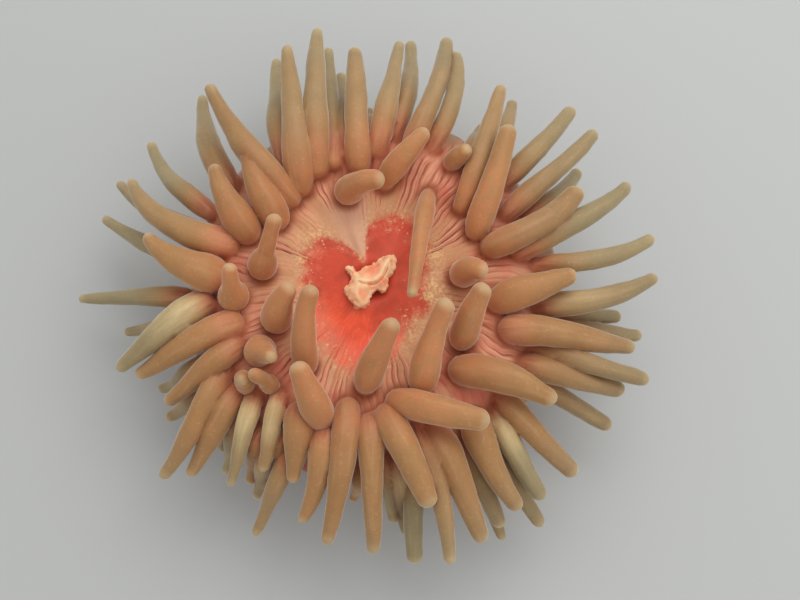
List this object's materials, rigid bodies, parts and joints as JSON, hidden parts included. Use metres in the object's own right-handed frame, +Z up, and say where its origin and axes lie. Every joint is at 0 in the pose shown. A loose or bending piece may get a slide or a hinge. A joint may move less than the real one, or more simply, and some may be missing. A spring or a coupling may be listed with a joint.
{
  "type": "sea anemone",
  "caption": "Life-size still model of an open sea anemone: thick blunt tentacles in rings round a red oral disc with pale lips, on a short column and a flat pedal disc.",
  "frame": {"origin": "centre of the pedal disc's flat underside, on the floor straight below the mouth", "axes": "+Z up through the mouth, +Y away from the viewer, +X to the viewer's right, along the crown's widest span"},
  "size_m": [0.2402, 0.2294, 0.0862],
  "materials": {
    "tentacle_flesh": "wet translucent flesh, beige-pink, paler at the tips",
    "margin_flesh": "wet translucent flesh, pink-red at the roots, beige-pink along the tentacles, grey-green outer tips",
    "disc_flesh": "wet flesh, orange-red with fine radial lines and cream speckling at its edge",
    "lip_flesh": "wet frilled flesh, cream-pink",
    "column_flesh": "wet warty flesh, brown-red with small grey-cream warts"
  },
  "bodies": {
    "root": {"tentacle_inner_01": "tentacle_flesh", "tentacle_inner_02": "tentacle_flesh", "tentacle_inner_03": "tentacle_flesh", "tentacle_inner_04": "tentacle_flesh", "tentacle_inner_05": "tentacle_flesh", "tentacle_inner_06": "tentacle_flesh", "tentacle_inner_07": "tentacle_flesh", "tentacle_inner_08": "tentacle_flesh", "tentacle_inner_09": "tentacle_flesh", "tentacle_inner_10": "tentacle_flesh", "tentacle_inner_11": "tentacle_flesh", "tentacle_inner_12": "tentacle_flesh", "tentacle_inner_13": "tentacle_flesh", "tentacle_inner_14": "tentacle_flesh", "tentacle_upper_01": "tentacle_flesh", "tentacle_upper_02": "tentacle_flesh", "tentacle_upper_03": "tentacle_flesh", "tentacle_upper_04": "tentacle_flesh", "tentacle_upper_05": "tentacle_flesh", "tentacle_upper_06": "tentacle_flesh", "tentacle_upper_07": "tentacle_flesh", "tentacle_upper_08": "tentacle_flesh", "tentacle_upper_09": "tentacle_flesh", "tentacle_upper_10": "tentacle_flesh", "tentacle_upper_11": "tentacle_flesh", "tentacle_upper_12": "tentacle_flesh", "tentacle_upper_13": "tentacle_flesh", "crown_01": "margin_flesh", "crown_02": "margin_flesh", "crown_03": "margin_flesh", "crown_04": "margin_flesh", "crown_05": "margin_flesh", "crown_06": "margin_flesh", "crown_07": "margin_flesh", "crown_08": "margin_flesh", "crown_09": "margin_flesh", "crown_10": "margin_flesh", "crown_11": "margin_flesh", "crown_12": "margin_flesh", "crown_13": "margin_flesh", "crown_14": "margin_flesh", "crown_15": "margin_flesh", "crown_16": "margin_flesh", "crown_17": "margin_flesh", "crown_18": "margin_flesh", "crown_19": "margin_flesh", "crown_20": "margin_flesh", "crown_21": "margin_flesh", "crown_22": "margin_flesh", "oral_disc": "disc_flesh", "lips": "lip_flesh", "pedal_disc": "column_flesh", "column_lower": "column_flesh", "column_upper": "column_flesh", "collar": "column_flesh"}
  },
  "joints": []
}
